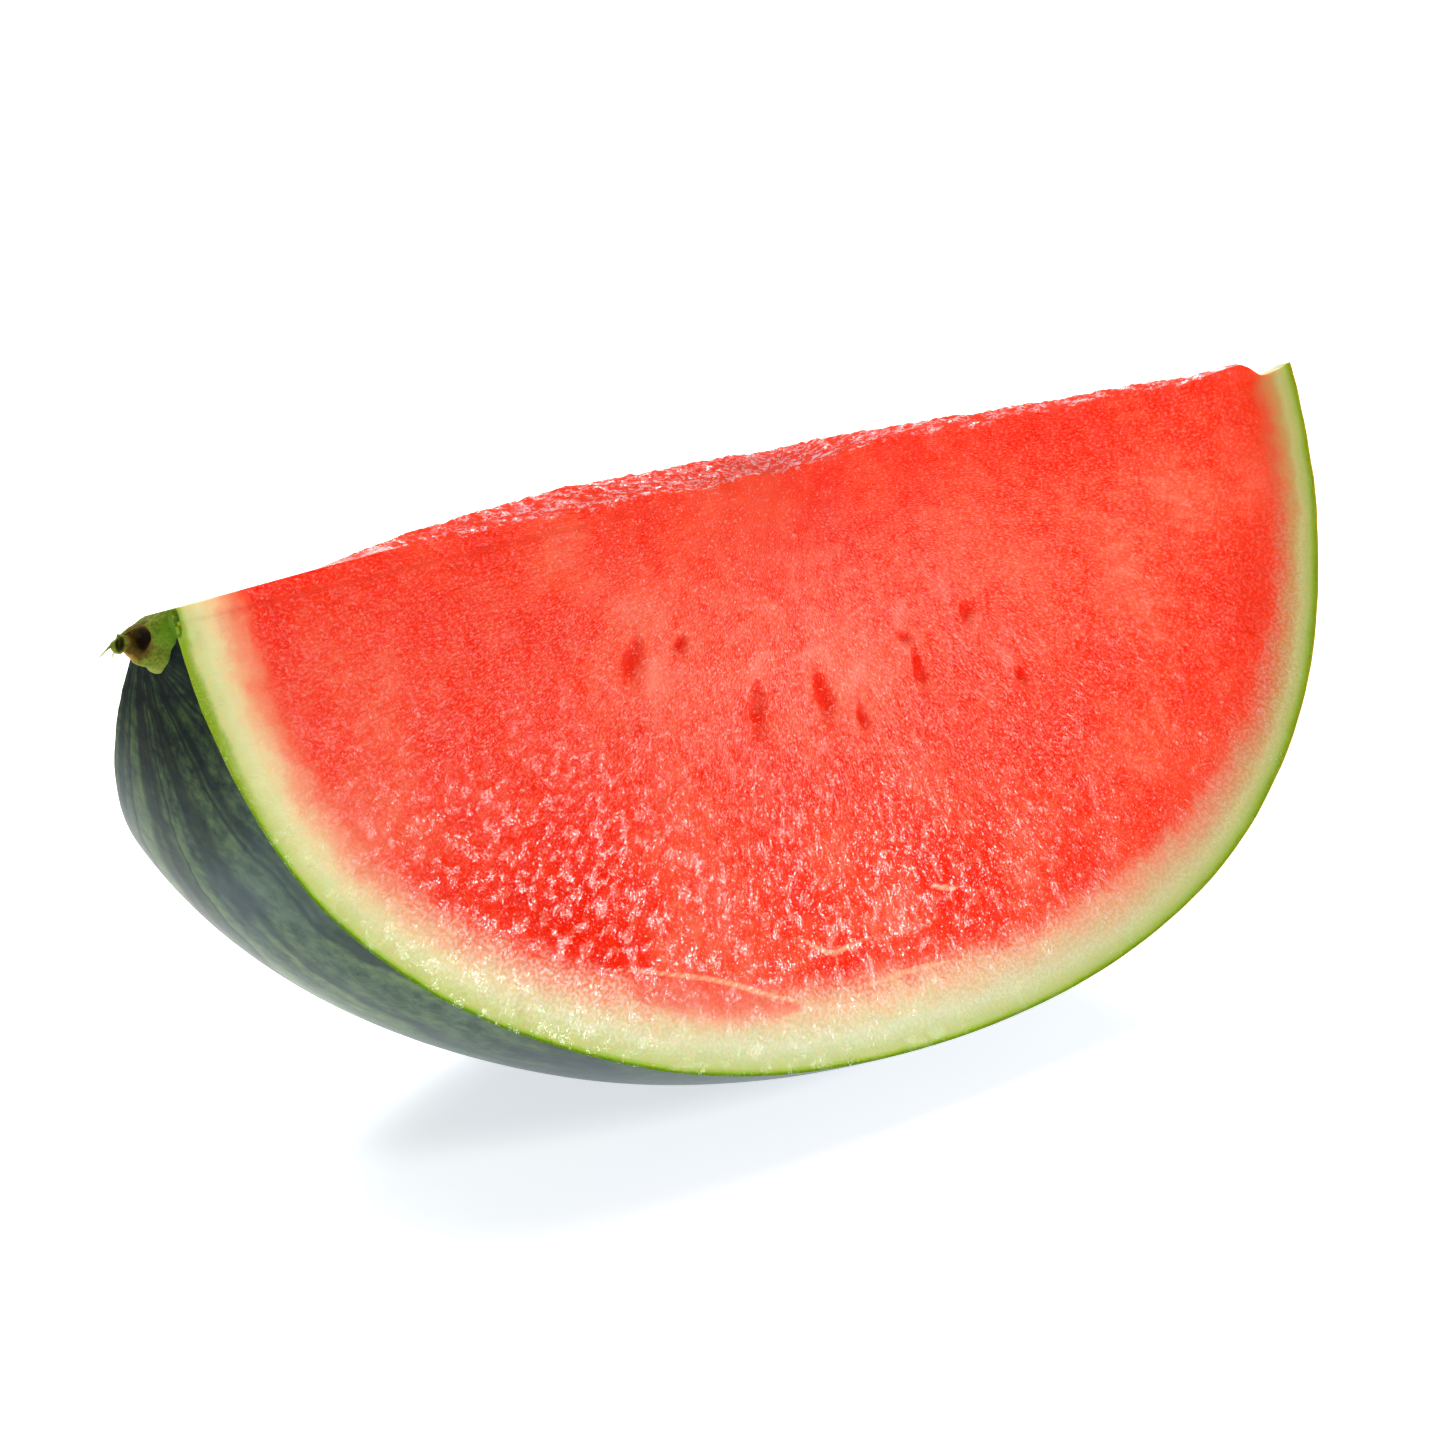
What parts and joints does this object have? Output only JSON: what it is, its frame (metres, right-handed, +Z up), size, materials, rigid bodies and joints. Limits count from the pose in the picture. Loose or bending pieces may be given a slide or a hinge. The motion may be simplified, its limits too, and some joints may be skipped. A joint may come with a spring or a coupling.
{
  "type": "watermelon wedge",
  "caption": "Long wedge of seedless watermelon lying on its skin, with wet red flesh, pale rind, empty seed cavities, a torn ridge and the stub of its stalk.",
  "frame": {"origin": "middle of the part's footprint box, on the surface the wedge lies on", "axes": "+X along the fruit from its stem end to its blossom end, -Y out of the near cut face, +Z up"},
  "size_m": [0.2478, 0.0892, 0.1045],
  "materials": {
    "melon": "wet cut flesh, pale rind and waxy green skin",
    "stalk": "matt, half dry"
  },
  "bodies": {
    "root": {"wedge": "melon", "stem_stub": "stalk"}
  },
  "joints": []
}
